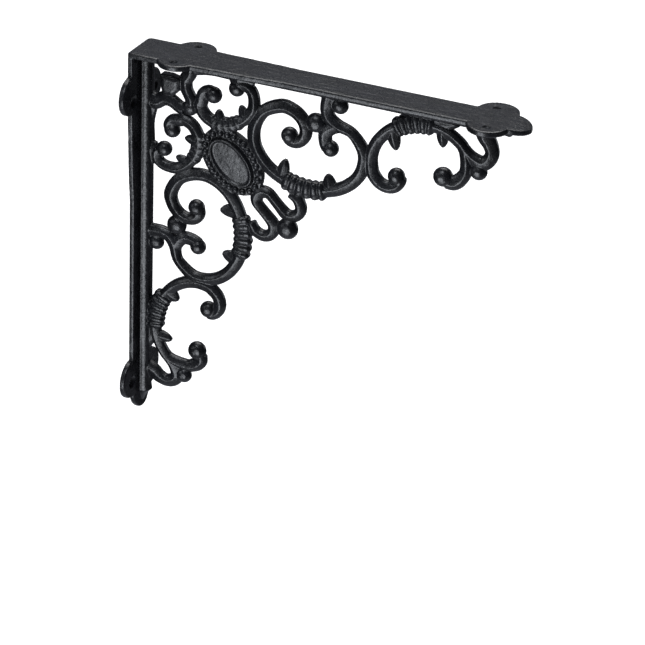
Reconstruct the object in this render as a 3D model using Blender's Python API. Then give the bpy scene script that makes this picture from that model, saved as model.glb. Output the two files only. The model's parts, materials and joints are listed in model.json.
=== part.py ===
"""Ornate cast iron shelf bracket, made as one casting.

A shelf plate and a wall plate meet at a right angle. A rib runs along the inside of each,
and a pierced web of scrolls fills the corner between them. Lengths are in millimetres
until a mesh is made. A point is written (out, side, down): how far it is out from the wall
face, to the side of the web's middle, and down from the shelf face. The bracket is very nearly
its own mirror image about the diagonal out = down, so the scrolls are drawn for the shelf
arm and repeated for the wall arm with out and down exchanged and a slight change of fit.
"""
import math

import bmesh
import bpy
from mathutils import Vector

MM = 0.001

# Plates. Near is the side towards a viewer who has the shelf plate running to the right.
# A lobe is (distance along the plate, radius, distance of its centre from the plate's middle).
ARM_LENGTH = 275.0
PLATE_WIDTH = 26.0
PLATE_THICKNESS = 3.8
PLATE_SHIFT = -1.3
CORNER_RADII = (3.0, 5.0)
NEAR_FLARE = 3.8
FAR_FLARE = 2.0
FLARE_LENGTH = 110.0
FLARE_POWER = 2.5
FAR_LOBE = 248.3
SHELF_NEAR_LOBES = ((33.6, 13.0, 10.6), (249.6, 13.2, 10.8))
SHELF_FAR_LOBES = ((36.6, 13.8, 10.8), (248.4, 13.8, 12.0))
WALL_NEAR_LOBES = ((30.6, 13.0, 16.9), (247.6, 14.2, 13.0))
WALL_FAR_LOBES = ((34.5, 13.6, 13.0), (250.5, 14.2, 13.0))
LOBE_STEPS = 6
SHORTEST_STOP = 0.9
TIP_RADIUS = 12.0
TIP_SLOPE_START = 257.0
TIP_DROP = 2.6
TIP_SAG = 1.4

# Screw holes, one pair near the corner and one near the tip of each arm: (along, side)
SHELF_HOLES = ((33.2, -17.2), (36.0, 14.4), (250.4, -17.2), (246.4, 14.4))
WALL_HOLES = ((34.4, -16.4), (34.4, 14.4), (249.4, -16.4), (249.4, 14.4))
HOLE_DIAMETER = 5.6
HOLE_SIDES = 12
COUNTERSINK_DIAMETER = 9.6
COUNTERSINK_DEPTH = 2.0

# The origin lies on the wall face, midway between the two pairs of wall screws
ORIGIN_DOWN = (WALL_HOLES[0][0] + WALL_HOLES[2][0]) / 2

# Rib along the inside of each plate
RIB_DEPTH = 9.9
RIB_ROOT = 4.5
RIB_ROOT_DOWN = 2.6
RIB_FACE = 3.7
RIB_EDGE = 1.2
RIB_END = 262.5
KEEL_END = 272.0

# Web
WEB_DEPTH = 3.6
RIDGE_SHIFT = 0.22
EDGE_DEPTH = 0.34
TURN_PER_STATION = math.radians(30)
LONGEST_STATION = 11.0
BUTTON_SIDES = 8

# The wall arm's scrolls against the shelf arm's: centre (along, away from the plate), stretch
# and shift in those two directions, and turn in degrees
WALL_SMALL = ((65.0, 27.0), (0.945, 1.0), (1.2, -0.4), 0.5)
WALL_MIDDLE = ((124.0, 45.0), (0.99, 1.01), (-0.1, 0.8), -2.9)
WALL_OUTER = ((202.0, 40.0), (1.035, 1.01), (-0.4, -0.4), -1.4)
WALL_TIP = ((240.0, 25.0), (1.0, 1.0), (0.4, -1.6), -0.5)
WALL_HORSESHOE = ((36.0, 20.0), (1.08, 0.91), (0.8, 0.0), 0.5)

# The two hooks below the medallion lie a little to the shelf's side of the diagonal
HAIRPIN_SHIFT = 0.5

# Medallion: half-lengths along and across the diagonal
MEDALLION_CENTRE = 70.0
MEDALLION_EDGE = (25.8, 18.8)
MEDALLION_BEADS = (22.6, 15.2)
MEDALLION_RIM = (18.2, 10.9)
MEDALLION_DOME = (15.8, 8.6)
BEAD_COUNT = 24

FLAT_ANGLE = math.radians(1)

IRON_COLOUR = (0.017, 0.018, 0.020, 1.0)


def place(out, side, down):
    """The world position, in metres, of a point given in the bracket's own terms."""
    return Vector((out * MM, side * MM, (ORIGIN_DOWN - down) * MM))


def swap(rings):
    """The same rings for the wall arm."""
    return [[(down, side, out) for out, side, down in ring] for ring in rings]


def refit(point, fit):
    """A scroll's point for the wall arm, where its centre, size and tilt differ a little."""
    centre, stretch, shift, turn = fit
    lean = math.radians(turn)
    along = (point[0] - centre[0]) * stretch[0]
    across = (point[2] - centre[1]) * stretch[1]
    return (centre[0] + shift[0] + along * math.cos(lean) - across * math.sin(lean), point[1],
            centre[1] + shift[1] + along * math.sin(lean) + across * math.cos(lean))


def wall_copy(bodies, fit):
    """The bodies of a scroll for the wall arm."""
    return [swap([[refit(point, fit) for point in ring] for ring in rings]) for rings in bodies]


def loft(rings):
    """A closed body through rings of equal length, capped at both ends."""
    mesh = bmesh.new()
    loops = [[mesh.verts.new(place(*point)) for point in ring] for ring in rings]
    for lower, upper in zip(loops, loops[1:]):
        for index, corner in enumerate(lower):
            following = (index + 1) % len(lower)
            mesh.faces.new((corner, lower[following], upper[following], upper[index]))
    mesh.faces.new(loops[0])
    mesh.faces.new(loops[-1])
    bmesh.ops.triangulate(mesh, faces=mesh.faces)
    bmesh.ops.recalc_face_normals(mesh, faces=mesh.faces)
    return mesh


def add_object(name, mesh, collection):
    """Turn a bmesh into an object of the named collection."""
    data = bpy.data.meshes.new(name)
    mesh.to_mesh(data)
    mesh.free()
    thing = bpy.data.objects.new(name, data)
    collection.objects.link(thing)
    return thing


# Paths. A knot is (out, down, half_width).

def oval(centre, radii, tilt, start, stop, widths, count):
    """Knots on a tilted oval between two angles in degrees, measured from out to down."""
    lean = math.radians(tilt)
    knots = []
    for index in range(count + 1):
        share = index / count
        angle = math.radians(start + (stop - start) * share)
        along = radii[0] * math.cos(angle)
        across = radii[1] * math.sin(angle)
        out = centre[0] + along * math.cos(lean) - across * math.sin(lean)
        down = centre[1] + along * math.sin(lean) + across * math.cos(lean)
        knots.append((out, down, widths[0] + (widths[1] - widths[0]) * share))
    return knots


def curl(eye, radii, start, stop, widths, count):
    """Knots on a logarithmic spiral round a scroll's eye, between two angles in degrees."""
    knots = []
    for index in range(count + 1):
        share = index / count
        angle = math.radians(start + (stop - start) * share)
        radius = radii[0] * (radii[1] / radii[0]) ** share
        width = widths[0] + (widths[1] - widths[0]) * share
        knots.append((eye[0] + radius * math.cos(angle), eye[1] + radius * math.sin(angle), width))
    return knots


def spline_point(before, start, stop, after, share):
    """A point of the Catmull-Rom curve between start and stop."""
    square = share * share
    cube = square * share
    return tuple(
        0.5 * (2 * b + (c - a) * share + (2 * a - 5 * b + 4 * c - d) * square
               + (3 * b - a - 3 * c + d) * cube)
        for a, b, c, d in zip(before, start, stop, after))


def smooth(knots, samples=12):
    """A dense curve through the knots."""
    first = tuple(2 * a - b for a, b in zip(knots[0], knots[1]))
    last = tuple(2 * a - b for a, b in zip(knots[-1], knots[-2]))
    points = [first] + list(knots) + [last]
    dense = []
    for index in range(1, len(points) - 2):
        for sample in range(samples):
            dense.append(spline_point(*points[index - 1:index + 3], sample / samples))
    dense.append(knots[-1])
    return dense


def heading(first, second):
    """The direction of travel from one path point to the next."""
    return math.atan2(second[1] - first[1], second[0] - first[0])


def stations(knots, depth=WEB_DEPTH):
    """Stations of a path, spaced so that each pair turns by one step at most.

    A station is (out, down, half_width, heading, depth).
    """
    dense = smooth(knots)
    chosen = [(*dense[0], heading(dense[0], dense[1]), depth)]
    turned = 0.0
    travelled = 0.0
    for before, here, after in zip(dense, dense[1:], dense[2:]):
        change = heading(here, after) - heading(before, here)
        turned += abs(math.remainder(change, math.tau))
        travelled += math.dist(before[:2], here[:2])
        if turned > TURN_PER_STATION or travelled > LONGEST_STATION:
            chosen.append((*here, heading(before, after), depth))
            turned = 0.0
            travelled = 0.0
    if travelled < LONGEST_STATION / 4 and len(chosen) > 2:
        chosen.pop()
    chosen.append((*dense[-1], heading(dense[-2], dense[-1]), depth))
    return chosen


def ribbed(knots, ribs, swell, depth):
    """Stations of a ribbed band: each rib is a swelling between two grooves."""
    dense = smooth(knots, samples=ribs * 4)
    last = len(dense) - 1
    chosen = []
    for step in range(2 * ribs + 1):
        index = round(step * last / (2 * ribs))
        out, down, width = dense[index]
        angle = heading(dense[max(index - 1, 0)], dense[min(index + 1, last)])
        crest = swell if step % 2 else 0.0
        chosen.append((out, down, width + crest, angle, depth + crest))
    return chosen


def strand(points, outer_side):
    """Rings of a scroll's band: a ridge near its outer side and a bevel down to each edge.

    outer_side is 1 where the scroll's outside lies to the right of the direction of travel
    as the web is drawn, with out to the right and down downwards, and -1 where it lies left.
    """
    section = (
        (1.0, EDGE_DEPTH), (RIDGE_SHIFT, 1.0), (-1.0, EDGE_DEPTH),
        (-1.0, -EDGE_DEPTH), (RIDGE_SHIFT, -1.0), (1.0, -EDGE_DEPTH))
    rings = []
    for out, down, width, angle, depth in points:
        right = (-math.sin(angle) * outer_side, math.cos(angle) * outer_side)
        rings.append([
            (out + right[0] * width * across, depth * through, down + right[1] * width * across)
            for across, through in section])
    return rings


def thorn(base, tip, half_width):
    """Rings of a thorn that leans from its base on the band to a blunt tip."""
    middle = tuple(0.45 * a + 0.55 * b for a, b in zip(base, tip))
    angle = heading(base, tip)
    return strand([
        (*base, half_width, angle, WEB_DEPTH * 0.8),
        (*middle, half_width * 0.72, angle, WEB_DEPTH * 0.72),
        (*tip, half_width * 0.22, angle, WEB_DEPTH * 0.32)], 1)


def button(centre, radius, depth, sides=BUTTON_SIDES):
    """Rings of a rounded ball end: a low dome on both sides of the web."""
    profile = ((-1.0, 0.4), (-0.55, 0.93), (0.55, 0.93), (1.0, 0.4))
    rings = []
    for through, share in profile:
        rings.append([
            (centre[0] + radius * share * math.cos(math.tau * step / sides),
             depth * through,
             centre[1] + radius * share * math.sin(math.tau * step / sides))
            for step in range(sides)])
    return rings


def small_scroll(bud):
    """The first scroll out from the corner, hung from the rib by a short neck."""
    centre = (64.9, 27.0)
    radii = (21.3, 16.6)
    tilt = -32
    inner_curl = curl((54.0, 27.4), (3.9, 9.0), 280, 150, (3.6, 4.2), 3)
    near_side = oval(centre, radii, tilt, 195, 160, (4.3, 4.3), 2)
    band = oval(centre, radii, tilt, 150, 84, (4.8, 4.8), 4)
    far_side = oval(centre, radii, tilt, 74, 45, (4.3, 3.9), 2)
    outer_curl = curl((74.6, 20.2), (9.6, 5.4), 10, -118, (3.7, 3.6), 4)
    body = stations(inner_curl + near_side) + ribbed(band, 5, 0.4, 3.7)
    body += stations(far_side + outer_curl)
    fillet = [(39.0, 9.0, 5.2), (52.0, 8.4, 3.2), (66.0, 8.8, 3.0)]
    neck = [(75.2, 7.0, 10.6, math.pi / 2, 3.0), (75.2, 13.8, 8.0, math.pi / 2, 3.0)]
    return [
        strand(body, 1),
        strand(stations(fillet, 3.2), 1),
        strand(neck, 1),
        button((54.9, 25.3), 5.6, 4.6),
        button(bud, 5.4, 4.4),
        thorn((59.8, 43.6), (58.8, 35.2), 3.6),
        thorn((77.9, 36.4), (74.7, 28.7), 3.4),
    ]


def middle_scroll(eye_radius, knob, first_thorn):
    """The large scroll, which rises to the rib on a stem and curls inward twice."""
    centre = (124.2, 47.6)
    radii = (39.7, 30.5)
    tilt = 4
    eye_curl = curl((111.5, 40.6), (eye_radius, 19.2), 124, -112, (3.4, 4.5), 7)
    near_side = oval(centre, radii, tilt, 215, 120, (4.3, 3.9), 4)
    band = oval(centre, radii, tilt, 112, 66, (5.4, 5.4), 4)
    far_side = oval(centre, radii, tilt, 58, -14, (4.8, 3.9), 4)
    stem = [(154.7, 31.8, 3.4), (144.8, 28.3, 3.8), (138.4, 24.3, 4.2),
            (136.2, 19.0, 4.4), (136.6, 13.0, 4.6), (138.0, 7.0, 5.2)]
    second_curl = [(153.0, 31.6, 2.4), (146.8, 29.6, 3.1), (140.6, 31.0, 4.0),
                   (136.0, 35.2, 4.4), (136.0, 41.6, 4.3), (138.0, 45.9, 4.2)]
    body = stations(eye_curl + near_side) + ribbed(band, 6, 0.5, 4.0)
    body += stations(far_side + stem)
    return [
        strand(body, -1),
        strand(stations(second_curl, WEB_DEPTH * 0.94), 1),
        button((110.4, 42.5), 5.7, 4.8),
        button((139.9, 45.6), 5.4, 4.6),
        button(knob[:2], knob[2], 4.6),
        button((145.0, 14.2), 5.6, 3.9),
        thorn((first_thorn[0], 74.6), (first_thorn[1], 60.4), first_thorn[2]),
        thorn((141.0, 74.2), (139.0, 64.3), 4.7),
    ]


def outer_scroll(thorn_length, droop, reach):
    """The third scroll, its ribbed back against the rib and both ends curled below."""
    centre = (202.2, 43.6)
    radii = (34.2, 28.4)
    tilt = -19
    near_curl = curl((183.9, 53.9 + droop), (5.8, 13.4), 10, 170, (3.8, 4.2), 4)
    near_side = oval(centre, radii, tilt, 182, 244, (4.1, 4.3), 4)
    band = oval(centre, radii, tilt, 253, 301, (5.7, 5.5), 4)
    far_side = oval(centre, radii, tilt, 310, 347, (3.5, 3.4), 2)
    tip_curl = [(233.8, 39.6, 3.9), (231.4 + reach / 2, 45.4 + droop, 4.5),
                (226.8 + reach, 50.0 + droop, 4.8), (220.9 + reach, 50.4 + droop, 4.5)]
    fillet = [(208.0, 9.8, 4.0), (218.0, 11.4, 4.3), (226.5, 8.8, 2.6)]
    body = stations(near_curl + near_side) + ribbed(band, 6, 0.5, 4.0)
    body += stations(far_side + tip_curl)
    return [
        strand(body, -1),
        strand(stations(fillet, 3.2), 1),
        button((186.7, 54.5 + droop), 5.7, 4.8),
        button((218.6 + reach, 47.6 + droop), 6.5, 5.0),
        thorn((182.4, 24.6), (185.4, 24.0 + thorn_length), 4.4),
        thorn((216.2, 17.9), (217.2, 27.6), 3.8),
    ]


def tip_scroll(droop):
    """The last turn, from the third scroll round and up to the plate behind the end screws."""
    sweep = [(230.0, 24.8, 3.6), (236.3, 30.2, 3.9)]
    turn = oval((242.9, 24.6), (7.3, 8.8), 0, 92, -5, (4.8, 4.4), 4)
    bend = [(248.3, 18.8, 4.9), (245.4, 14.6, 5.6), (243.4, 9.0, 6.2)]
    return [
        strand(stations(sweep + turn + bend), -1),
        button((242.3, 38.9 + droop), 5.6, 4.4),
    ]


def diagonal_path(half):
    """A whole path from its shelf half, which ends on the diagonal."""
    return half + [(down, out, width) for out, down, width in reversed(half[:-1])]


def horseshoe_arm():
    """One arm of the loop that hangs from both ribs in the corner."""
    path = [(37.0, 7.0, 5.6), (37.2, 13.0, 4.7), (34.2, 19.0, 4.5), (34.9, 25.0, 4.1),
            (38.0, 31.0, 4.0), (38.8, 35.0, 3.6)]
    return strand(stations(path), -1)


def corner_boss():
    """Rings of the eight-sided boss between the arms of the corner loop."""
    rings = []
    for through, share in ((-4.2, 0.62), (-3.2, 1.0), (3.2, 1.0), (4.2, 0.62)):
        corners = ((17.0, 17.0), (24.0, 16.8), (31.0, 18.6), (31.0, 26.0),
                   (28.6, 28.6), (26.0, 31.0), (18.6, 31.0), (16.8, 24.0))
        rings.append([(23.5 + (out - 23.5) * share, through, 23.5 + (down - 23.5) * share)
                      for out, down in corners])
    return rings


def hairpin():
    """The two hooks below the medallion, joined in a hairpin against its foot."""
    apart = 6.1 / math.sqrt(2)
    hook = [(112.2, 84.4, 3.0), (117.0, 86.8, 3.8)]
    hook += oval((112.8, 93.8), (7.4, 7.4), 0, -30, 120, (3.7, 4.0), 5)
    hook += [(99.8 + apart, 99.8 - apart, 3.5)]
    hook += oval((93.8, 93.8), (6.1, 6.1), 0, -45, -135, (3.5, 4.4), 3)
    path = [(out + HAIRPIN_SHIFT, down - HAIRPIN_SHIFT, width) for out, down, width in diagonal_path(hook)]
    return strand(stations(path), 1)


def medallion():
    """The medallion, with its edge, beads, rim and dome on both sides of the web."""
    def oval_ring(half_lengths, count, depths):
        ring = []
        for step in range(count):
            angle = math.tau * step / count
            along = half_lengths[0] * math.cos(angle) / math.sqrt(2)
            across = half_lengths[1] * math.sin(angle) / math.sqrt(2)
            ring.append((MEDALLION_CENTRE + along + across, depths[step % len(depths)],
                         MEDALLION_CENTRE + along - across))
        return ring

    mesh = bmesh.new()
    edges = {}
    for face in (-1, 1):
        rings = [
            oval_ring(MEDALLION_EDGE, BEAD_COUNT, (2.4 * face,)),
            oval_ring(MEDALLION_BEADS, 2 * BEAD_COUNT, (4.4 * face, 3.2 * face)),
            oval_ring(MEDALLION_RIM, BEAD_COUNT, (4.6 * face,)),
            oval_ring(MEDALLION_DOME, BEAD_COUNT, (3.8 * face,)),
        ]
        loops = [[mesh.verts.new(place(*point)) for point in ring] for ring in rings]
        top = mesh.verts.new(place(MEDALLION_CENTRE, 5.2 * face, MEDALLION_CENTRE))
        edge, beads, rim, dome = loops
        edges[face] = edge
        for step in range(BEAD_COUNT):
            following = (step + 1) % BEAD_COUNT
            bead, groove = beads[2 * step], beads[2 * step + 1]
            next_bead = beads[2 * following]
            for ring in (edge, rim):
                mesh.faces.new((ring[step], bead, groove))
                mesh.faces.new((ring[step], groove, ring[following]))
                mesh.faces.new((ring[following], groove, next_bead))
            mesh.faces.new((rim[step], rim[following], dome[following], dome[step]))
            mesh.faces.new((dome[step], dome[following], top))
    for step in range(BEAD_COUNT):
        following = (step + 1) % BEAD_COUNT
        mesh.faces.new((edges[-1][step], edges[-1][following], edges[1][following], edges[1][step]))
    bmesh.ops.triangulate(mesh, faces=mesh.faces)
    bmesh.ops.recalc_face_normals(mesh, faces=mesh.faces)
    return mesh


def half_width(along, lobes, flare):
    """How far one side of a plate reaches at a distance along it."""
    tip_centre = ARM_LENGTH - TIP_RADIUS
    reach = PLATE_WIDTH / 2 + flare * max(0.0, 1.0 - (along / FLARE_LENGTH) ** FLARE_POWER)
    if along > FAR_LOBE:
        reach = math.sqrt(max(TIP_RADIUS ** 2 - max(along - tip_centre, 0.0) ** 2, 0.0))
    for centre, radius, offset in lobes:
        if abs(along - centre) < radius:
            reach = max(reach, offset + math.sqrt(radius ** 2 - (along - centre) ** 2))
    return reach


def plate_stops(lobes):
    """Distances along a plate at which its outline is drawn, from the corner to the tip."""
    stops = []
    for centre, radius, offset in lobes:
        edge = math.degrees(math.asin((PLATE_WIDTH / 2 - offset) / radius))
        for step in range(LOBE_STEPS + 1):
            angle = math.radians(180 - edge + (2 * edge - 180) * step / LOBE_STEPS)
            stops.append(centre + radius * math.cos(angle))
    last_lobe = max(stops)
    tip_centre = ARM_LENGTH - TIP_RADIUS
    for degrees in (80, 62, 46, 30, 13):
        stops.append(max(tip_centre + TIP_RADIUS * math.cos(math.radians(degrees)), last_lobe + 0.4))
    kept = []
    for stop in sorted(stops):
        if not kept or stop - kept[-1] > SHORTEST_STOP:
            kept.append(stop)
    return kept


def plate_section(along, near_lobes, far_lobes):
    """The plate's four corners at a distance along it, bent down a little towards the tip."""
    slope = max(along - TIP_SLOPE_START, 0.0) / (ARM_LENGTH - TIP_SLOPE_START)
    face = TIP_DROP * slope * slope
    inner = PLATE_THICKNESS + TIP_SAG * slope * slope
    near = PLATE_SHIFT - half_width(along, near_lobes, NEAR_FLARE)
    far = PLATE_SHIFT + half_width(along, far_lobes, FAR_FLARE)
    return [(along, near, face), (along, far, face), (along, far, inner), (along, near, inner)]


def plate_rings():
    """Rings of the two plates, mitred at the corner."""
    shelf = [plate_section(along, SHELF_NEAR_LOBES, SHELF_FAR_LOBES)
             for along in plate_stops(SHELF_NEAR_LOBES + SHELF_FAR_LOBES)]
    wall = [plate_section(along, WALL_NEAR_LOBES, WALL_FAR_LOBES)
            for along in plate_stops(WALL_NEAR_LOBES + WALL_FAR_LOBES)]
    mitre = [(down, side, down) for along, side, down in plate_section(0.0, (), ())]
    return list(reversed(shelf)) + [mitre] + swap(wall)


def rib_rings():
    """Rings of the rib inside the plates, which ends in a keel that runs out at each tip."""
    rings = []
    for out, depth, share in ((RIB_END - 5.0, RIB_DEPTH, 1.0), (RIB_END - 1.0, RIB_DEPTH + 0.8, 1.0),
                              (RIB_END + 2.4, RIB_DEPTH - 2.6, 0.9),
                              (KEEL_END, RIB_ROOT_DOWN + 1.6, 0.5)):
        face = RIB_FACE * share
        root = RIB_ROOT * share
        edge = min(RIB_EDGE, (depth - RIB_ROOT_DOWN) / 2)
        rings.append([
            (out, -root, RIB_ROOT_DOWN), (out, -face, depth - edge), (out, -face + edge, depth),
            (out, face - edge, depth), (out, face, depth - edge), (out, root, RIB_ROOT_DOWN)])
    mitre = [(down, side, down) for out, side, down in rings[0]]
    return list(reversed(rings)) + [mitre] + swap(rings)


def corner_cutter(side_sign):
    """Rings of the prism that rounds one end of the corner's edge, seen along the diagonal."""
    reach = 30.0
    half = PLATE_WIDTH / 2 + (NEAR_FLARE if side_sign < 0 else FAR_FLARE)
    radius = CORNER_RADII[0 if side_sign < 0 else 1]
    profile = [(-2.0, half - radius), (-2.0, half + 2.0), (radius, half + 2.0)]
    for step in range(6):
        angle = math.radians(90 * step / 5)
        profile.append((radius * (1 - math.sin(angle)), half - radius * (1 - math.cos(angle))))
    rings = []
    for travel in (-reach, reach):
        rings.append([((depth + travel) / 2, PLATE_SHIFT + side * side_sign, (depth - travel) / 2)
                      for depth, side in profile])
    return rings


def hole_rings(along, side):
    """Rings of a screw hole through the shelf plate, with a countersink on its inner side."""
    sizes = ((-3.0, HOLE_DIAMETER), (PLATE_THICKNESS - COUNTERSINK_DEPTH, HOLE_DIAMETER),
             (PLATE_THICKNESS + 0.01, COUNTERSINK_DIAMETER), (PLATE_THICKNESS + 4.0, COUNTERSINK_DIAMETER))
    return [[(along + size / 2 * math.cos(math.tau * step / HOLE_SIDES),
              side + size / 2 * math.sin(math.tau * step / HOLE_SIDES), down)
             for step in range(HOLE_SIDES)] for down, size in sizes]


def new_collection(name):
    """A collection of construction bodies, which aren't part of the model."""
    group = bpy.data.collections.new(name)
    bpy.context.scene.collection.children.link(group)
    return group


def guide(thing):
    """Mark an object as a construction body."""
    thing.hide_render = True
    thing.display_type = 'WIRE'


def boolean(target, group, operation):
    """Join or cut a body by every body of a collection.

    The exact solver leaves edges shared by three faces where several scrolls meet.
    """
    modifier = target.modifiers.new(operation.title(), 'BOOLEAN')
    modifier.operation = operation
    modifier.operand_type = 'COLLECTION'
    modifier.collection = group
    modifier.solver = 'MANIFOLD'


def merge_flat_faces(target):
    """Join neighbouring faces that lie in one plane, which the booleans leave split."""
    modifier = target.modifiers.new("Flat", 'DECIMATE')
    modifier.decimate_type = 'DISSOLVE'
    modifier.angle_limit = FLAT_ANGLE


def iron():
    """Black painted cast iron."""
    material = bpy.data.materials.new("cast_iron_black")
    material.use_nodes = True
    shader = material.node_tree.nodes["Principled BSDF"]
    shader.inputs["Base Color"].default_value = IRON_COLOUR
    shader.inputs["Metallic"].default_value = 0.35
    shader.inputs["Roughness"].default_value = 0.5
    return material


def build():
    """Model the bracket."""
    for thing in list(bpy.data.objects):
        bpy.data.objects.remove(thing)
    joined = new_collection("joined")
    cut = new_collection("cut")

    bodies = [plate_rings(), rib_rings(), corner_boss(), hairpin()]
    bodies.append(button((37.9, 37.9), 5.4, 3.8))
    bodies.append(button((111.0 + HAIRPIN_SHIFT, 111.0 - HAIRPIN_SHIFT), 7.4, 5.2, 12))
    bodies += small_scroll((71.5, 17.2)) + middle_scroll(4.7, (128.8, 29.5, 6.6), (105.3, 108.5, 4.5))
    bodies += outer_scroll(12.5, 0.7, 0.0) + tip_scroll(0.6)
    bodies += wall_copy(small_scroll((70.8, 19.4)), WALL_SMALL)
    bodies += wall_copy(middle_scroll(3.1, (127.7, 28.7, 6.9), (104.0, 107.0, 5.5)), WALL_MIDDLE)
    bodies += wall_copy(outer_scroll(7.6, -0.2, 1.8), WALL_OUTER)
    bodies += wall_copy(tip_scroll(-0.6), WALL_TIP)
    bodies += [horseshoe_arm()] + wall_copy([horseshoe_arm()], WALL_HORSESHOE)

    bracket = add_object("bracket", loft(bodies[0]), bpy.context.scene.collection)
    for index, rings in enumerate(bodies[1:]):
        guide(add_object("form_%02d" % index, loft(rings), joined))
    guide(add_object("medallion", medallion(), joined))

    for side_sign in (-1, 1):
        guide(add_object("corner_%d" % side_sign, loft(corner_cutter(side_sign)), cut))
    for along, side in SHELF_HOLES:
        guide(add_object("shelf_hole", loft(hole_rings(along, side)), cut))
    for along, side in WALL_HOLES:
        guide(add_object("wall_hole", loft(swap(hole_rings(along, side))), cut))

    boolean(bracket, joined, 'UNION')
    boolean(bracket, cut, 'DIFFERENCE')
    merge_flat_faces(bracket)
    bracket.data.materials.append(iron())


build()
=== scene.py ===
import json
import math

import bmesh
import bpy
import numpy as np
from mathutils import Matrix, Vector, noise

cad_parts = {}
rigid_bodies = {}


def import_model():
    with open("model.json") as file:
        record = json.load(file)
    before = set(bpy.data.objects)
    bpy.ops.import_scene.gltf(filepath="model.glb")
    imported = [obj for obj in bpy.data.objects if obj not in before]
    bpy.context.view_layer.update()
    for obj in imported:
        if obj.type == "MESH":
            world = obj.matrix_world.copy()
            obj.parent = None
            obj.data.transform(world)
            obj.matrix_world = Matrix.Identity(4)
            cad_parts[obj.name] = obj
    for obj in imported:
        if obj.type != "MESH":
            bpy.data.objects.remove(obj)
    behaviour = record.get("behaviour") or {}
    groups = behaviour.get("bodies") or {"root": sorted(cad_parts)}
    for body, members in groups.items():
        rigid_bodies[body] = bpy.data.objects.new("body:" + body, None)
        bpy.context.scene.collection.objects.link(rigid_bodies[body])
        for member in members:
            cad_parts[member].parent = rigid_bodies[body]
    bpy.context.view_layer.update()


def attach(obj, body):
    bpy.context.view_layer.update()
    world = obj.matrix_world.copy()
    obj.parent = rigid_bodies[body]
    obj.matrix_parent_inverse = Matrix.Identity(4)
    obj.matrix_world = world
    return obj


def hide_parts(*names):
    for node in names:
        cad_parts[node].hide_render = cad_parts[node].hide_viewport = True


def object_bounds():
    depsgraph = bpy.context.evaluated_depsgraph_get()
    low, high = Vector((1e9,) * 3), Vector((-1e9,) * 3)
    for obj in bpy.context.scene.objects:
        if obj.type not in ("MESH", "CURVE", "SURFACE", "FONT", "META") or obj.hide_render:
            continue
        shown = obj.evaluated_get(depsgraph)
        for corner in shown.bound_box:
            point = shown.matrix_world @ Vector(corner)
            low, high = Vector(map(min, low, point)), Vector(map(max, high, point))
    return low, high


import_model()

# Lengths are in millimetres until a mesh is made. A point is (out, side, down): how far it is
# out from the wall face, to the side of the web's middle, and down from the shelf face.
MM = 0.001

# Plates. A lobe is (distance along the plate, radius, distance of its centre from the middle).
ARM_LENGTH = 275.0
PLATE_WIDTH = 26.0
PLATE_THICKNESS = 3.8
PLATE_SHIFT = -1.3
PLATE_EDGE = 0.6
CORNER_RADII = (3.0, 5.0)
NEAR_FLARE = 3.8
FAR_FLARE = 2.0
FLARE_LENGTH = 110.0
FLARE_POWER = 2.5
FAR_LOBE = 248.3
SHELF_NEAR_LOBES = ((33.6, 13.0, 10.6), (249.6, 13.2, 10.8))
SHELF_FAR_LOBES = ((36.6, 13.8, 10.8), (248.4, 13.8, 12.0))
WALL_NEAR_LOBES = ((30.6, 13.0, 16.9), (247.6, 14.2, 13.0))
WALL_FAR_LOBES = ((34.5, 13.6, 13.0), (250.5, 14.2, 13.0))
TIP_RADIUS = 12.0
TIP_SLOPE_START = 257.0
TIP_DROP = 2.6
TIP_SAG = 1.4
PLATE_STATION = 0.7

# Screw holes: (along, side)
SHELF_HOLES = ((33.2, -17.2), (36.0, 14.4), (250.4, -17.2), (246.4, 14.4))
WALL_HOLES = ((34.4, -16.4), (34.4, 14.4), (249.4, -16.4), (249.4, 14.4))
HOLE_DIAMETER = 5.6
COUNTERSINK_DIAMETER = 9.6
COUNTERSINK_DEPTH = 2.0
HOLE_SIDES = 40

ORIGIN_DOWN = (WALL_HOLES[0][0] + WALL_HOLES[2][0]) / 2

# Rib along the inside of each plate
RIB_DEPTH = 10.1
RIB_ROOT = 5.0
RIB_ROOT_DOWN = 2.6
RIB_SQUARENESS = 0.72
RIB_STEPS = 18
RIB_END = 262.5
KEEL_END = 272.0

# Web
WEB_DEPTH = 3.6
RIDGE_SHIFT = 0.22
EDGE_DEPTH = 0.34
STATION = 0.9
BAND_TAPER = 0.1
BAND_RIB_LEAN = 0.7
BAND_RIB_FULLNESS = 0.7
BALL_SIDES = 36
BALL_RINGS = 9

# The wall arm's scrolls against the shelf arm's: centre (along, away from the plate), stretch
# and shift in those two directions, and turn in degrees
WALL_SMALL = ((65.0, 27.0), (0.945, 1.0), (1.2, -0.4), 0.5)
WALL_MIDDLE = ((124.0, 45.0), (0.99, 1.01), (-0.1, 0.8), -2.9)
WALL_OUTER = ((202.0, 40.0), (1.035, 1.01), (-0.4, -0.4), -1.4)
WALL_TIP = ((240.0, 25.0), (1.0, 1.0), (0.4, -1.6), -0.5)
WALL_HORSESHOE = ((36.0, 20.0), (1.08, 0.91), (0.8, 0.0), 0.5)

# The two hooks below the medallion lie a little to the shelf's side of the diagonal
HAIRPIN_SHIFT = 0.5

# Medallion: half-lengths along and across the diagonal
MEDALLION_CENTRE = 70.0
MEDALLION_EDGE = (25.8, 18.8)
MEDALLION_BEADS = (22.8, 15.9)
MEDALLION_LIP = (18.4, 11.2)
MEDALLION_DISH = (16.0, 8.9)
BEAD_COUNT = 26
BEAD_RADIUS = 2.25
BEAD_RISE = 1.8
BEAD_HEIGHT = 2.5
BEAD_SIDES = 14
BEAD_RINGS = 6

# Skin
VOXEL = 0.4
SMOOTHING_STEPS = 3
TRIANGLE_LIMIT = 190000
WAVE_HEIGHT = 0.12
WAVE_LENGTH = 9.0
SWELL = 0.22

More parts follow.
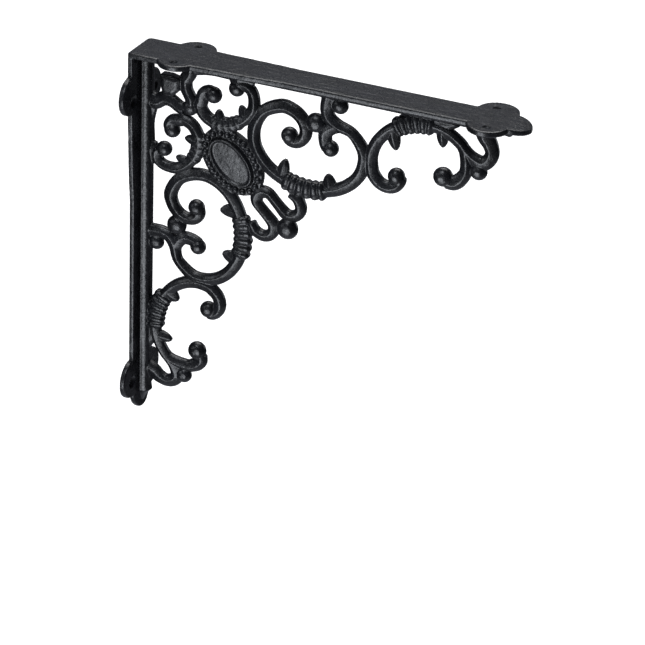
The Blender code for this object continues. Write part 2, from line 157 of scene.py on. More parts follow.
# Paint: its patches, its worn edges, its least and greatest roughness, and for each grain the
# noise scale and the height in metres
DARK_PAINT = (0.0026, 0.0028, 0.0036, 1.0)
LIGHT_PAINT = (0.0085, 0.0092, 0.0115, 1.0)
WORN_PAINT = (0.017, 0.0185, 0.022, 1.0)
ROUGHNESS = (0.22, 0.42)
PATCH_SCALE = 55.0
LUMP_SCALE = 240.0
LUMP_HEIGHT = 0.0005
STREAK_SCALE = (60.0, 420.0, 420.0)
STREAK_HEIGHT = 0.00035
SAND_SCALE = 900.0
SAND_HEIGHT = 0.00013

# Studio
FLOOR_DROP = 0.30
FLOOR_SIZE = 6.0
SCREEN_DIRECTION = (-0.35, 0.83, 0.44)
TABLE_DIRECTION = (0.15, 0.0, -1.0)
LAMP_TARGET = (0.12, 0.0, 0.02)
WHITE = (1.0, 1.0, 1.0)
COOL = (0.90, 0.94, 1.0)

# Lamps: (name, position, target, size, power, colour)
LAMPS = (
    ("overhead", (-0.2, 1.2, 2.3), (-0.2, 1.2, -0.43), 2.0, 70.0, WHITE),
    ("front_low", (-0.02, -0.85, -0.44), LAMP_TARGET, 0.58, 9.0, COOL),
    ("behind", (0.70, 1.20, 0.05), LAMP_TARGET, 0.50, 1.5, COOL),
    ("front_high", (-0.07, -0.70, 0.96), LAMP_TARGET, 0.46, 5.5, COOL),
    ("front_left", (-0.75, -0.8, 0.30), LAMP_TARGET, 0.30, 1.2, COOL),
)

# Camera, worked out from the photo's outlines: a 645-pixel square frame
CAMERA_POSITION = (674.76, -1328.72, 600.27)
CAMERA_RIGHT = (0.91796, 0.39437, 0.04270)
CAMERA_DOWN = (0.22255, -0.42291, -0.87842)
CAMERA_LENS = 133.95


def place(out, side, down):
    """The position in metres of a point given in the bracket's own terms."""
    return (out * MM, side * MM, (ORIGIN_DOWN - down) * MM)


def swap(body):
    """The same body for the wall arm."""
    points, faces = body
    return [(down, side, out) for out, side, down in points], faces


def refit(point, fit):
    """A scroll's point for the wall arm, where its centre, size and tilt differ a little."""
    centre, stretch, shift, turn = fit
    lean = math.radians(turn)
    along = (point[0] - centre[0]) * stretch[0]
    across = (point[2] - centre[1]) * stretch[1]
    return (centre[0] + shift[0] + along * math.cos(lean) - across * math.sin(lean), point[1],
            centre[1] + shift[1] + along * math.sin(lean) + across * math.cos(lean))


def wall_copy(bodies, fit):
    """The bodies of a scroll for the wall arm."""
    return [swap(([refit(point, fit) for point in points], faces)) for points, faces in bodies]


def loft(rings):
    """(points, faces) of a closed body through rings of equal length, capped at both ends."""
    count = len(rings[0])
    points = [point for ring in rings for point in ring]
    faces = []
    for lower in range(len(rings) - 1):
        for index in range(count):
            following = (index + 1) % count
            faces.append((lower * count + index, lower * count + following,
                          (lower + 1) * count + following, (lower + 1) * count + index))
    faces.append(tuple(range(count)))
    faces.append(tuple((len(rings) - 1) * count + index for index in range(count)))
    return points, faces


# Paths. A knot is (out, down, half_width).

def oval(centre, radii, tilt, start, stop, widths, count):
    """Knots on a tilted oval between two angles in degrees, measured from out to down."""
    lean = math.radians(tilt)
    knots = []
    for index in range(count + 1):
        share = index / count
        angle = math.radians(start + (stop - start) * share)
        along = radii[0] * math.cos(angle)
        across = radii[1] * math.sin(angle)
        out = centre[0] + along * math.cos(lean) - across * math.sin(lean)
        down = centre[1] + along * math.sin(lean) + across * math.cos(lean)
        knots.append((out, down, widths[0] + (widths[1] - widths[0]) * share))
    return knots


def curl(eye, radii, start, stop, widths, count):
    """Knots on a logarithmic spiral round a scroll's eye, between two angles in degrees."""
    knots = []
    for index in range(count + 1):
        share = index / count
        angle = math.radians(start + (stop - start) * share)
        radius = radii[0] * (radii[1] / radii[0]) ** share
        width = widths[0] + (widths[1] - widths[0]) * share
        knots.append((eye[0] + radius * math.cos(angle), eye[1] + radius * math.sin(angle), width))
    return knots


def spline_point(before, start, stop, after, share):
    """A point of the Catmull-Rom curve between start and stop."""
    square = share * share
    cube = square * share
    return tuple(
        0.5 * (2 * b + (c - a) * share + (2 * a - 5 * b + 4 * c - d) * square
               + (3 * b - a - 3 * c + d) * cube)
        for a, b, c, d in zip(before, start, stop, after))


def smooth(knots, samples=24):
    """A dense curve through the knots."""
    first = tuple(2 * a - b for a, b in zip(knots[0], knots[1]))
    last = tuple(2 * a - b for a, b in zip(knots[-1], knots[-2]))
    points = [first] + list(knots) + [last]
    dense = []
    for index in range(1, len(points) - 2):
        for sample in range(samples):
            dense.append(spline_point(*points[index - 1:index + 3], sample / samples))
    dense.append(knots[-1])
    return dense


def stations(knots):
    """Evenly spaced stations of a path: (out, down, half_width, heading, share of the length)."""
    dense = np.array(smooth(knots))
    steps = np.hypot(np.diff(dense[:, 0]), np.diff(dense[:, 1]))
    travelled = np.concatenate(([0.0], np.cumsum(steps)))
    count = max(int(travelled[-1] / STATION), 4)
    stops = np.linspace(0.0, travelled[-1], count + 1)
    out, down, width = (np.interp(stops, travelled, dense[:, column]) for column in range(3))
    headings = np.arctan2(np.gradient(down), np.gradient(out))
    return [tuple(row) for row in zip(out, down, width, headings, stops / travelled[-1])]


def section_height(across):
    """Height of a band's section: a soft ridge off its middle with a slope to each side."""
    if across < RIDGE_SHIFT:
        share = (across + 1.0) / (RIDGE_SHIFT + 1.0)
    else:
        share = (1.0 - across) / (1.0 - RIDGE_SHIFT)
    slope = 0.55 * share + 0.45 * math.sqrt(max(1.0 - (1.0 - share) ** 2, 0.0))
    return EDGE_DEPTH + (1.0 - EDGE_DEPTH) * slope


SECTION = [math.cos(math.pi * step / 14) for step in range(15)]


def strand(points, outer_side, depth=WEB_DEPTH, ribs=0, swell=0.0):
    """A scroll's band. With ribs, it swells and sinks that many times along its length."""
    rings = []
    for out, down, width, angle, share in points:
        right = (-math.sin(angle) * outer_side, math.cos(angle) * outer_side)
        phase = (ribs * share) % 1.0
        pulse = math.sin(math.pi * phase ** BAND_RIB_LEAN) ** BAND_RIB_FULLNESS if ribs else 0.0
        ring = []
        for face in (1, -1):
            for across in SECTION if face == 1 else reversed(SECTION):
                height = depth * section_height(across)
                reach = width
                if ribs:
                    end = min(share, 1.0 - share, BAND_TAPER) / BAND_TAPER
                    height = rib_height(across, depth, swell * pulse) * (0.8 + 0.2 * end)
                    reach = width * (0.8 + 0.2 * end) - 0.35 + 0.9 * swell * pulse
                ring.append((out + right[0] * reach * across, face * height,
                             down + right[1] * reach * across))
        rings.append(ring)
    return loft(rings)


def rib_height(across, depth, rise):
    """Height of a ribbed band's section: two rounded rows of ribs with a notch between."""
    row = 1.0 - 0.5 * math.exp(-((across + 0.52) / 0.12) ** 2)
    roundness = math.sqrt(max(1.0 - (abs(across) ** 2.6), 0.0))
    return depth * (0.30 + 0.52 * roundness) + rise * row * (0.35 + 0.65 * roundness)


def thorn(base, tip, half_width):
    """A thorn that leans from its base on the band to a blunt tip."""
    steps = 14
    angle = math.atan2(tip[1] - base[1], tip[0] - base[0])
    right = (-math.sin(angle), math.cos(angle))
    rings = []
    for step in range(steps + 1):
        share = step / steps
        out = base[0] + (tip[0] - base[0]) * share
        down = base[1] + (tip[1] - base[1]) * share
        width = half_width * max((1.0 - share ** 2.2) ** 0.5, 0.22)
        height = WEB_DEPTH * (0.84 - 0.40 * share ** 2)
        ring = []
        for face in (1, -1):
            for across in SECTION if face == 1 else reversed(SECTION):
                crest = 0.42 + 0.58 * (1.0 - abs(across)) ** 0.9
                ring.append((out + right[0] * width * across, face * height * crest,
                             down + right[1] * width * across))
        rings.append(ring)
    return loft(rings)


def button(centre, radius, depth):
    """A rounded ball end: a dome on both sides of the web."""
    rings = []
    for step in range(BALL_RINGS + 1):
        angle = math.pi * (0.06 + 0.88 * step / BALL_RINGS)
        reach = radius * math.sin(angle) ** 0.85
        rings.append([
            (centre[0] + reach * math.cos(math.tau * side / BALL_SIDES),
             -depth * math.cos(angle),
             centre[1] + reach * math.sin(math.tau * side / BALL_SIDES))
            for side in range(BALL_SIDES)])
    return loft(rings)


def small_scroll(bud):
    """The first scroll out from the corner, hung from the rib by a short neck."""
    centre = (64.9, 27.0)
    radii = (21.3, 16.6)
    tilt = -32
    inner_curl = curl((54.0, 27.4), (3.9, 9.0), 280, 150, (3.6, 4.2), 3)
    back = oval(centre, radii, tilt, 195, 45, (4.3, 3.9), 7)
    outer_curl = curl((74.6, 20.2), (9.6, 5.4), 10, -118, (3.7, 3.6), 4)
    band = oval(centre, radii, tilt, 150, 84, (4.8, 4.8), 6)
    fillet = [(39.0, 9.0, 5.2), (52.0, 8.4, 3.2), (66.0, 8.8, 3.0)]
    neck = [(75.2, 7.0, 10.6), (75.2, 10.4, 9.3), (75.2, 13.8, 8.0)]
    return [
        strand(stations(inner_curl + back + outer_curl), 1),
        strand(stations(band), 1, WEB_DEPTH, 5, 0.6),
        strand(stations(fillet), 1, 2.4),
        strand(stations(neck), 1, 3.0),
        button((54.9, 25.3), 5.6, 4.6),
        button(bud, 5.4, 4.4),
        thorn((59.8, 43.6), (58.8, 35.2), 3.6),
        thorn((77.9, 36.4), (74.7, 28.7), 3.4),
    ]


def middle_scroll(eye_radius, knob, first_thorn):
    """The large scroll, which rises to the rib on a stem and curls inward twice."""
    centre = (124.2, 47.6)
    radii = (39.7, 30.5)
    tilt = 4
    eye_curl = curl((111.5, 40.6), (eye_radius, 19.2), 124, -112, (3.4, 4.5), 9)
    back = oval(centre, radii, tilt, 215, -14, (4.2, 4.2), 12)
    band = oval(centre, radii, tilt, 112, 66, (5.4, 5.4), 6)
    stem = [(154.7, 31.8, 3.4), (144.8, 28.3, 3.8), (138.4, 24.3, 4.2),
            (136.2, 19.0, 4.4), (136.6, 13.0, 4.6), (138.0, 7.0, 5.2)]
    second_curl = [(153.0, 31.6, 2.4), (146.8, 29.6, 3.1), (140.6, 31.0, 4.0),
                   (136.0, 35.2, 4.4), (136.0, 41.6, 4.3), (138.0, 45.9, 4.2)]
    return [
        strand(stations(eye_curl + back + stem), -1),
        strand(stations(second_curl), 1, WEB_DEPTH * 0.94),
        strand(stations(band), -1, WEB_DEPTH, 6, 1.5),
        button((110.4, 42.5), 5.7, 4.8),
        button((139.9, 45.6), 5.4, 4.6),
        button(knob[:2], knob[2], 4.6),
        button((145.0, 14.2), 5.6, 3.9),
        thorn((first_thorn[0], 74.6), (first_thorn[1], 60.4), first_thorn[2]),
        thorn((141.0, 74.2), (139.0, 64.3), 4.7),
    ]


def outer_scroll(thorn_length, droop, reach):
    """The third scroll, its ribbed back against the rib and both ends curled below."""
    centre = (202.2, 43.6)
    radii = (34.2, 28.4)
    tilt = -19
    near_curl = curl((183.9, 53.9 + droop), (5.8, 13.4), 10, 170, (3.8, 4.2), 6)
    back = oval(centre, radii, tilt, 182, 347, (4.1, 3.6), 10)
    band = oval(centre, radii, tilt, 253, 301, (5.7, 5.5), 6)
    tip_curl = [(233.8, 39.6, 3.9), (231.4 + reach / 2, 45.4 + droop, 4.5),
                (226.8 + reach, 50.0 + droop, 4.8), (220.9 + reach, 50.4 + droop, 4.5)]
    fillet = [(208.0, 9.8, 4.0), (218.0, 11.4, 4.3), (226.5, 8.8, 2.6)]
    return [
        strand(stations(near_curl + back + tip_curl), -1),
        strand(stations(band), -1, WEB_DEPTH, 6, 1.5),
        strand(stations(fillet), 1, 2.4),
        button((186.7, 54.5 + droop), 5.7, 4.8),
        button((218.6 + reach, 47.6 + droop), 6.5, 5.0),
        thorn((182.4, 24.6), (185.4, 24.0 + thorn_length), 4.4),
        thorn((216.2, 17.9), (217.2, 27.6), 3.8),
    ]


def tip_scroll(droop):
    """The last turn, from the third scroll round and up to the plate behind the end screws."""
    sweep = [(230.0, 24.8, 3.6), (236.3, 30.2, 3.9)]
    turn = oval((242.9, 24.6), (7.3, 8.8), 0, 92, -5, (4.8, 4.4), 4)
    bend = [(248.3, 18.8, 4.9), (245.4, 14.6, 5.6), (243.4, 9.0, 6.2)]
    return [
        strand(stations(sweep + turn + bend), -1),
        button((242.3, 38.9 + droop), 5.6, 4.4),
    ]


def diagonal_path(half):
    """A whole path from its shelf half, which ends on the diagonal."""
    return half + [(down, out, width) for out, down, width in reversed(half[:-1])]


def horseshoe_arm():
    """One arm of the loop that hangs from both ribs in the corner."""
    path = [(37.0, 7.0, 5.6), (37.2, 13.0, 4.7), (34.2, 19.0, 4.5), (34.9, 25.0, 4.1),
            (38.0, 31.0, 4.0), (38.8, 35.0, 3.6)]
    return strand(stations(path), -1)


def corner_boss():
    """The eight-sided boss between the arms of the corner loop."""
    rings = []
    for through, share in ((-4.2, 0.58), (-3.9, 0.75), (-2.9, 1.0), (2.9, 1.0), (3.9, 0.75), (4.2, 0.58)):
        corners = ((17.0, 17.0), (24.0, 16.8), (31.0, 18.6), (31.0, 26.0),
                   (28.6, 28.6), (26.0, 31.0), (18.6, 31.0), (16.8, 24.0))
        rings.append([(23.5 + (out - 23.5) * share, through, 23.5 + (down - 23.5) * share)
                      for out, down in corners])
    return loft(rings)


def hairpin():
    """The two hooks below the medallion, joined in a hairpin against its foot."""
    apart = 6.1 / math.sqrt(2)
    hook = [(112.2, 84.4, 3.0), (117.0, 86.8, 3.8)]
    hook += oval((112.8, 93.8), (7.4, 7.4), 0, -30, 120, (3.7, 4.0), 5)
    hook += [(99.8 + apart, 99.8 - apart, 3.5)]
    hook += oval((93.8, 93.8), (6.1, 6.1), 0, -45, -135, (3.5, 4.4), 3)
    path = [(out + HAIRPIN_SHIFT, down - HAIRPIN_SHIFT, width) for out, down, width in diagonal_path(hook)]
    return strand(stations(path), 1)


def diagonal_point(along, across, side):
    """A point given along and across the diagonal from the medallion's centre."""
    return (MEDALLION_CENTRE + (along + across) / math.sqrt(2), side,
            MEDALLION_CENTRE + (along - across) / math.sqrt(2))


def medallion():
    """The medallion's plate, with a lip and a dish on both sides, and its beads."""
    profile = ((MEDALLION_EDGE, 2.4), (MEDALLION_BEADS, 2.2), ((20.4, 13.3), 2.2),
               ((19.6, 12.4), 2.5), ((18.9, 11.7), 4.4), (MEDALLION_LIP, 5.0), ((17.6, 10.4), 4.6),
               ((17.0, 9.8), 3.7), (MEDALLION_DISH, 3.5), ((13.0, 6.8), 3.5), ((8.6, 4.2), 3.6),
               ((4.0, 1.9), 3.65), ((0.4, 0.2), 3.65))
    count = 96
    rings = []
    for face in (-1, 1):
        for half_lengths, height in profile if face == 1 else reversed(profile):
            rings.append([
                diagonal_point(half_lengths[0] * math.cos(math.tau * step / count),
                               half_lengths[1] * math.sin(math.tau * step / count), face * height)
                for step in range(count)])
    bodies = [loft(rings)]
    for index in range(BEAD_COUNT):
        angle = math.tau * (index + 0.5) / BEAD_COUNT
        turn = math.atan2(MEDALLION_BEADS[0] * math.sin(angle), MEDALLION_BEADS[1] * math.cos(angle))
        along = MEDALLION_BEADS[0] * math.cos(turn)
        across = MEDALLION_BEADS[1] * math.sin(turn)
        for face in (-1, 1):
            bodies.append(bead(along, across, face))
    return bodies


def bead(along, across, face):
    """One bead of the medallion's border."""
    rings = []
    for step in range(BEAD_RINGS + 1):
        angle = math.pi * (0.05 + 0.9 * step / BEAD_RINGS)
        reach = BEAD_RADIUS * math.sin(angle)
        rings.append([
            diagonal_point(along + reach * math.cos(math.tau * side / BEAD_SIDES),
                           across + reach * math.sin(math.tau * side / BEAD_SIDES),
                           face * BEAD_HEIGHT - BEAD_RISE * math.cos(angle))
            for side in range(BEAD_SIDES)])
    return loft(rings)


def half_width(along, lobes, flare):
    """How far one side of a plate reaches at a distance along it."""
    tip_centre = ARM_LENGTH - TIP_RADIUS
    reach = PLATE_WIDTH / 2 + flare * max(0.0, 1.0 - (along / FLARE_LENGTH) ** FLARE_POWER)
    if along > FAR_LOBE:
        reach = math.sqrt(max(TIP_RADIUS ** 2 - max(along - tip_centre, 0.0) ** 2, 0.0))
    for centre, radius, offset in lobes:
        if abs(along - centre) < radius:
            reach = max(reach, offset + math.sqrt(radius ** 2 - (along - centre) ** 2))
    return reach


def plate_section(along, near_lobes, far_lobes):
    """The plate's section at a distance along it, with softened edges, bent down at the tip."""
    slope = max(along - TIP_SLOPE_START, 0.0) / (ARM_LENGTH - TIP_SLOPE_START)
    face = TIP_DROP * slope * slope
    inner = PLATE_THICKNESS + TIP_SAG * slope * slope
    near = PLATE_SHIFT - half_width(along, near_lobes, NEAR_FLARE)
    far = PLATE_SHIFT + half_width(along, far_lobes, FAR_FLARE)
    edge = min(PLATE_EDGE, (far - near) / 4, (inner - face) / 4)
    return [(along, near + edge, face), (along, far - edge, face), (along, far, face + edge),
            (along, far, inner - edge), (along, far - edge, inner), (along, near + edge, inner),
            (along, near, inner - edge), (along, near, face + edge)]


def plate_stops():
    """Distances along a plate at which its outline is drawn, closer together near the tip."""
    stops = list(np.arange(4.5, ARM_LENGTH - TIP_RADIUS, PLATE_STATION))
    tip_centre = ARM_LENGTH - TIP_RADIUS
    for step in range(24):
        stops.append(tip_centre + TIP_RADIUS * math.sin(math.pi / 2 * (step + 0.5) / 24.5))
    return stops


def plates():
    """The two plates, mitred at the corner."""
    shelf = [plate_section(along, SHELF_NEAR_LOBES, SHELF_FAR_LOBES) for along in plate_stops()]
    wall = [plate_section(along, WALL_NEAR_LOBES, WALL_FAR_LOBES) for along in plate_stops()]
    start = plate_section(0.0, (), ())
    mitre = [(down, side, down) for along, side, down in start]
    swapped = [[(down, side, out) for out, side, down in ring] for ring in wall]
    return loft(list(reversed(shelf)) + [mitre] + swapped)


def rib():
    """The rib inside the plates, which ends in a keel that runs out at each tip."""
    rings = []
    for out, depth, share in ((RIB_END - 5.0, RIB_DEPTH, 1.0), (RIB_END - 1.0, RIB_DEPTH + 0.8, 1.0),
                              (RIB_END + 2.4, RIB_DEPTH - 2.6, 0.9),
                              (KEEL_END, RIB_ROOT_DOWN + 1.6, 0.5)):
        ring = []
        for step in range(RIB_STEPS + 1):
            angle = math.pi * step / RIB_STEPS
            across = -math.copysign(abs(math.cos(angle)) ** RIB_SQUARENESS, math.cos(angle))
            rise = math.sin(angle) ** RIB_SQUARENESS if 0 < step < RIB_STEPS else 0.0
            ring.append((out, across * RIB_ROOT * share,
                         RIB_ROOT_DOWN + (depth - RIB_ROOT_DOWN) * rise))
        rings.append(ring)
    mitre = [(down, side, down) for out, side, down in rings[0]]
    swapped = [[(down, side, out) for out, side, down in ring] for ring in rings]
    return loft(list(reversed(rings)) + [mitre] + swapped)


def all_bodies():
    """Every form of the casting, overlapping where they meet."""
    bodies = [plates(), rib(), corner_boss(), hairpin()]
    bodies.append(button((37.9, 37.9), 5.4, 3.8))
    bodies.append(button((111.0 + HAIRPIN_SHIFT, 111.0 - HAIRPIN_SHIFT), 7.4, 5.2))
    bodies += medallion()
    bodies += small_scroll((71.5, 17.2)) + middle_scroll(4.7, (128.8, 29.5, 6.6), (105.3, 108.5, 4.5))
    bodies += outer_scroll(12.5, 0.7, 0.0) + tip_scroll(0.6)
    bodies += wall_copy(small_scroll((70.8, 19.4)), WALL_SMALL)
    bodies += wall_copy(middle_scroll(3.1, (127.7, 28.7, 6.9), (104.0, 107.0, 5.5)), WALL_MIDDLE)
    bodies += wall_copy(outer_scroll(7.6, -0.2, 1.8), WALL_OUTER)
    bodies += wall_copy(tip_scroll(-0.6), WALL_TIP)
    bodies += [horseshoe_arm()] + wall_copy([horseshoe_arm()], WALL_HORSESHOE)
    return bodies


def even_normals(thing):
    """Shade each vertex by its larger faces, so that flat faces look flat up to their edges."""
    weighted = thing.modifiers.new("Normals", 'WEIGHTED_NORMAL')
    weighted.mode = 'FACE_AREA'
    weighted.weight = 80
    apply_modifiers(thing)


def add_mesh(name, points, faces):
    """An object from (out, side, down) points."""
    data = bpy.data.meshes.new(name)
    data.from_pydata([place(*point) for point in points], [], faces)
    body = bmesh.new()
    body.from_mesh(data)
    bmesh.ops.recalc_face_normals(body, faces=body.faces)
    body.to_mesh(data)
    body.free()
    thing = bpy.data.objects.new(name, data)
    bpy.context.scene.collection.objects.link(thing)
    return thing


def apply_modifiers(thing):
    """Put the result of an object's modifiers into its mesh and remove them."""
    graph = bpy.context.evaluated_depsgraph_get()
    data = bpy.data.meshes.new_from_object(thing.evaluated_get(graph), depsgraph=graph)
    thing.modifiers.clear()
    thing.data = data


def hole_cutter(along, side, wall):
    """A screw hole with its countersink on the inner side."""
    sizes = ((-3.0, HOLE_DIAMETER), (PLATE_THICKNESS - COUNTERSINK_DEPTH, HOLE_DIAMETER),
             (PLATE_THICKNESS + 0.01, COUNTERSINK_DIAMETER), (PLATE_THICKNESS + 3.0, COUNTERSINK_DIAMETER))
    rings = [[(along + size / 2 * math.cos(math.tau * step / HOLE_SIDES),
               side + size / 2 * math.sin(math.tau * step / HOLE_SIDES), down)
              for step in range(HOLE_SIDES)] for down, size in sizes]
    body = loft(rings)
    return swap(body) if wall else body


def corner_cutter(side_sign):
    """The prism that rounds one end of the corner's edge, seen along the diagonal."""
    reach = 30.0
    half = PLATE_WIDTH / 2 + (NEAR_FLARE if side_sign < 0 else FAR_FLARE)
    radius = CORNER_RADII[0 if side_sign < 0 else 1]
    profile = [(-2.0, half - radius), (-2.0, half + 3.0), (radius, half + 3.0)]
    for step in range(13):
        angle = math.radians(90 * step / 12)
        profile.append((radius * (1 - math.sin(angle)), half - radius * (1 - math.cos(angle))))
    return loft([[((depth + travel) / 2, PLATE_SHIFT + side * side_sign, (depth - travel) / 2)
                  for depth, side in profile] for travel in (-reach, reach)])


def cut(thing, bodies):
    """Cut bodies out of an object."""
    group = bpy.data.collections.new("cutters")
    for index, body in enumerate(bodies):
        cutter = add_mesh("cutter_%d" % index, *body)
        bpy.context.scene.collection.objects.unlink(cutter)
        group.objects.link(cutter)
    modifier = thing.modifiers.new("Cut", 'BOOLEAN')
    modifier.operation = 'DIFFERENCE'
    modifier.operand_type = 'COLLECTION'
    modifier.collection = group
    modifier.solver = 'MANIFOLD'
    apply_modifiers(thing)
    for cutter in list(group.objects):
        bpy.data.objects.remove(cutter)
    bpy.data.collections.remove(group)


def casting():
    """The whole bracket as one skin, with cast fillets where its forms meet."""
    points = []
    faces = []
    for body_points, body_faces in all_bodies():
        start = len(points)
        points += body_points
        faces += [tuple(start + index for index in face) for face in body_faces]
    thing = add_mesh("bracket_casting", points, faces)
    remesh = thing.modifiers.new("Skin", 'REMESH')
    remesh.mode = 'VOXEL'
    remesh.voxel_size = VOXEL * MM
    remesh.adaptivity = 0.0
    soften = thing.modifiers.new("Soften", 'SMOOTH')
    soften.factor = 0.5
    soften.iterations = SMOOTHING_STEPS
    apply_modifiers(thing)
    triangles = 2 * len(thing.data.polygons)
    thin = thing.modifiers.new("Thin", 'DECIMATE')
    thin.ratio = min(1.0, TRIANGLE_LIMIT / triangles)
    apply_modifiers(thing)
    roughen(thing.data)
    cutters = [hole_cutter(along, side, False) for along, side in SHELF_HOLES]
    cutters += [hole_cutter(along, side, True) for along, side in WALL_HOLES]
    cutters += [corner_cutter(-1), corner_cutter(1)]
    cut(thing, cutters)
    return thing


def roughen(mesh):
    """Move the skin by a tenth of a millimetre or so, as a sand mould leaves it."""
    count = len(mesh.vertices)
    positions = np.empty(count * 3)
    normals = np.empty(count * 3)
    mesh.vertices.foreach_get("co", positions)
    mesh.vertices.foreach_get("normal", normals)
    positions = positions.reshape(-1, 3)
    normals = normals.reshape(-1, 3)
    scale = 1.0 / (WAVE_LENGTH * MM)
    rise = np.array([noise.noise(Vector(point) * scale) for point in positions])
    rise = SWELL + rise * WAVE_HEIGHT
    rise[np.abs(positions[:, 0]) < 0.3 * MM] = 0.0
    rise[positions[:, 2] > (ORIGIN_DOWN - 0.3) * MM] = 0.0
    positions = positions + normals * (rise * MM)[:, None]
    mesh.vertices.foreach_set("co", positions.ravel())
    mesh.update()


def iron_material():
    """Satin black paint over sand-cast iron, a little worn on its edges."""
    material = bpy.data.materials.new("cast_iron_black")
    material.use_nodes = True
    tree = material.node_tree
    nodes = tree.nodes
    links = tree.links
    shader = nodes["Principled BSDF"]
    place_node = nodes.new("ShaderNodeTexCoord")

    def grain(scale, detail, roughness=0.55):
        texture = nodes.new("ShaderNodeTexNoise")
        texture.inputs["Scale"].default_value = scale
        texture.inputs["Detail"].default_value = detail
        texture.inputs["Roughness"].default_value = roughness
        links.new(place_node.outputs["Object"], texture.inputs["Vector"])
        return texture

    def ramp(source, stops):
        node = nodes.new("ShaderNodeValToRGB")
        while len(node.color_ramp.elements) < len(stops):
            node.color_ramp.elements.new(0.5)
        for element, (position, colour) in zip(node.color_ramp.elements, stops):
            element.position = position
            element.color = colour
        links.new(source, node.inputs["Fac"])
        return node

    patches = grain(PATCH_SCALE, 5.0)
    lumps = grain(LUMP_SCALE, 2.0, 0.5)
    specks = grain(SAND_SCALE, 3.0, 0.65)
    base = ramp(patches.outputs["Fac"], ((0.34, DARK_PAINT), (0.68, LIGHT_PAINT)))
    geometry = nodes.new("ShaderNodeNewGeometry")
    stretch = nodes.new("ShaderNodeMapping")
    stretch.inputs["Scale"].default_value = STREAK_SCALE
    links.new(place_node.outputs["Object"], stretch.inputs["Vector"])
    streaks = grain(1.0, 4.0, 0.6)
    links.new(stretch.outputs["Vector"], streaks.inputs["Vector"])
    level = nodes.new("ShaderNodeSeparateXYZ")
    links.new(geometry.outputs["Normal"], level.inputs["Vector"])
    top_face = ramp(level.outputs["Z"], ((0.90, (0.0, 0.0, 0.0, 1.0)), (0.98, (0.8, 0.8, 0.8, 1.0))))
    worn = ramp(geometry.outputs["Pointiness"], ((0.515, (0.0, 0.0, 0.0, 1.0)),
                                                 (0.60, (1.0, 1.0, 1.0, 1.0))))
    wear_amount = nodes.new("ShaderNodeMath")
    wear_amount.operation = 'MULTIPLY'
    links.new(worn.outputs["Color"], wear_amount.inputs[0])
    links.new(specks.outputs["Fac"], wear_amount.inputs[1])
    colour = nodes.new("ShaderNodeMix")
    colour.data_type = 'RGBA'
    colour.inputs["B"].default_value = WORN_PAINT
    links.new(wear_amount.outputs[0], colour.inputs["Factor"])
    links.new(base.outputs["Color"], colour.inputs["A"])
    links.new(colour.outputs["Result"], shader.inputs["Base Color"])

    least, most = ROUGHNESS
    gloss = ramp(specks.outputs["Fac"], ((0.32, (least, least, least, 1.0)),
                                         (0.70, (most, most, most, 1.0))))
    links.new(gloss.outputs["Color"], shader.inputs["Roughness"])
    shader.inputs["Metallic"].default_value = 0.0
    shader.inputs["Specular IOR Level"].default_value = 0.42

    wavy = nodes.new("ShaderNodeBump")
    wavy.inputs["Strength"].default_value = 0.6
    wavy.inputs["Distance"].default_value = LUMP_HEIGHT
    links.new(lumps.outputs["Fac"], wavy.inputs["Height"])
    brushed = nodes.new("ShaderNodeBump")
    brushed.inputs["Distance"].default_value = STREAK_HEIGHT
    links.new(top_face.outputs["Color"], brushed.inputs["Strength"])
    links.new(streaks.outputs["Fac"], brushed.inputs["Height"])
    links.new(wavy.outputs["Normal"], brushed.inputs["Normal"])
    sandy = nodes.new("ShaderNodeBump")
    sandy.inputs["Strength"].default_value = 0.6
    sandy.inputs["Distance"].default_value = SAND_HEIGHT
    links.new(specks.outputs["Fac"], sandy.inputs["Height"])
    links.new(brushed.outputs["Normal"], sandy.inputs["Normal"])
    links.new(sandy.outputs["Normal"], shader.inputs["Normal"])
    return material


def glowing_floor_material():
    """Matt white, with a painted glow of its own: the floor gives off light that fills the bracket from
    below.
    """
    material = bpy.data.materials.new("white_floor")
    material.use_nodes = True
    shader = material.node_tree.nodes["Principled BSDF"]
    shader.inputs["Base Color"].default_value = (0.9, 0.9, 0.9, 1.0)
    shader.inputs["Roughness"].default_value = 0.9
    shader.inputs["Specular IOR Level"].default_value = 0.1
    # Painted glow: the floor emits light of its own, a fill from below that brightens the bracket's
    # undersides and keeps the floor white.
    shader.inputs["Emission Color"].default_value = (1.0, 1.0, 1.0, 1.0)
    shader.inputs["Emission Strength"].default_value = 0.5
    return material


def add_floor():
    """A plain pale floor some way below the bracket, which is made to hang on a wall."""
    reach = FLOOR_SIZE
    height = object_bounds()[0][2] - FLOOR_DROP
    data = bpy.data.meshes.new("floor")
    data.from_pydata([(-reach, -reach, height), (reach, -reach, height),
                      (reach, reach, height), (-reach, reach, height)], [], [(0, 1, 2, 3)])
    floor = bpy.data.objects.new("floor", data)
    floor.visible_glossy = False
    bpy.context.scene.collection.objects.link(floor)
    data.materials.append(glowing_floor_material())


def add_light(name, position, target, size, power, colour):
    """A square soft light that faces its target."""
    data = bpy.data.lights.new(name, 'AREA')
    data.size = size
    data.energy = power
    data.color = colour
    light = bpy.data.objects.new(name, data)
    light.location = position
    light.visible_camera = False
    light.rotation_euler = (Vector(target) - Vector(position)).to_track_quat('-Z', 'Y').to_euler()
    bpy.context.scene.collection.objects.link(light)


def glow(nodes, links, direction, towards, stops):
    """A soft patch of a colour on the world, seen towards one direction."""
    facing = nodes.new("ShaderNodeVectorMath")
    facing.operation = 'DOT_PRODUCT'
    facing.inputs[1].default_value = Vector(towards).normalized()
    links.new(direction, facing.inputs[0])
    patch = nodes.new("ShaderNodeValToRGB")
    for element, (position, colour) in zip(patch.color_ramp.elements, stops):
        element.position = position
        element.color = colour
    links.new(facing.outputs["Value"], patch.inputs["Fac"])
    return patch.outputs["Color"]


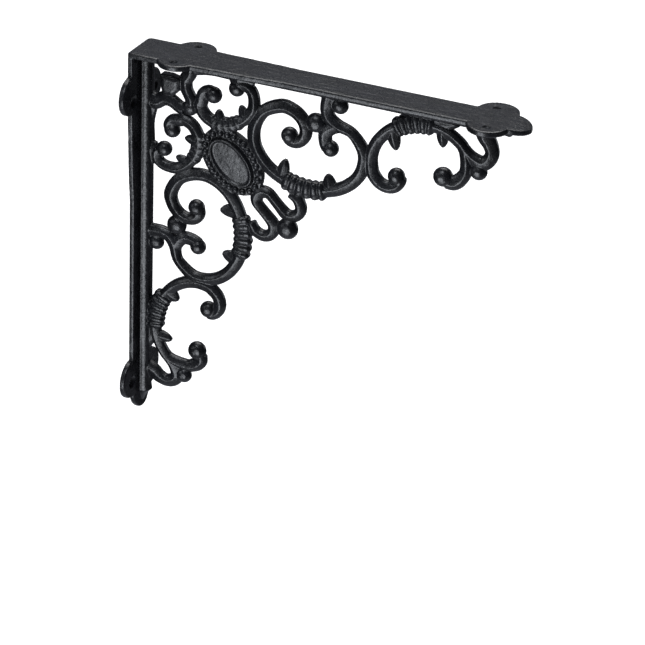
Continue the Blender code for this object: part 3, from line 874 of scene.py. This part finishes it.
def light_studio():
    """A dark room with a pale screen high at the back, a pale table below and soft lamps.

    The camera sees the room as white.
    """
    world = bpy.data.worlds.new("studio")
    bpy.context.scene.world = world
    world.use_nodes = True
    nodes = world.node_tree.nodes
    links = world.node_tree.links
    background = nodes["Background"]
    direction = nodes.new("ShaderNodeTexCoord").outputs["Generated"]
    screen = glow(nodes, links, direction, SCREEN_DIRECTION,
                  ((0.45, (0.036, 0.038, 0.046, 1.0)), (0.92, (0.150, 0.158, 0.185, 1.0))))
    table = glow(nodes, links, direction, TABLE_DIRECTION,
                 ((0.50, (0.0, 0.0, 0.0, 1.0)), (0.95, (0.50, 0.52, 0.58, 1.0))))
    both = nodes.new("ShaderNodeMix")
    both.data_type = 'RGBA'
    both.blend_type = 'ADD'
    both.inputs["Factor"].default_value = 1.0
    links.new(screen, both.inputs["A"])
    links.new(table, both.inputs["B"])
    path = nodes.new("ShaderNodeLightPath")
    seen = nodes.new("ShaderNodeMix")
    seen.data_type = 'RGBA'
    seen.inputs["B"].default_value = (1.0, 1.0, 1.0, 1.0)
    links.new(path.outputs["Is Camera Ray"], seen.inputs["Factor"])
    links.new(both.outputs["Result"], seen.inputs["A"])
    links.new(seen.outputs["Result"], background.inputs["Color"])
    background.inputs["Strength"].default_value = 1.0
    for lamp in LAMPS:
        add_light(*lamp)


def add_camera():
    """The camera at the photograph's viewing angle."""
    right = Vector(CAMERA_RIGHT).normalized()
    up = -Vector(CAMERA_DOWN)
    back = right.cross(up).normalized()
    up = back.cross(right)
    data = bpy.data.cameras.new("camera")
    data.lens = CAMERA_LENS
    data.sensor_width = 36.0
    data.clip_start = 0.05
    data.clip_end = 30.0
    camera = bpy.data.objects.new("camera", data)
    turn = Matrix((right, up, back)).transposed()
    position = Vector(place(CAMERA_POSITION[0], CAMERA_POSITION[1], -CAMERA_POSITION[2]))
    camera.matrix_world = Matrix.Translation(position) @ turn.to_4x4()
    bpy.context.scene.collection.objects.link(camera)
    bpy.context.scene.camera = camera


bracket = casting()
bracket.data.materials.clear()
bracket.data.materials.append(iron_material())
for polygon in bracket.data.polygons:
    polygon.use_smooth = True
even_normals(bracket)
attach(bracket, "root")
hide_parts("bracket")

add_floor()
light_studio()
add_camera()
bpy.context.scene.view_settings.view_transform = 'Standard'
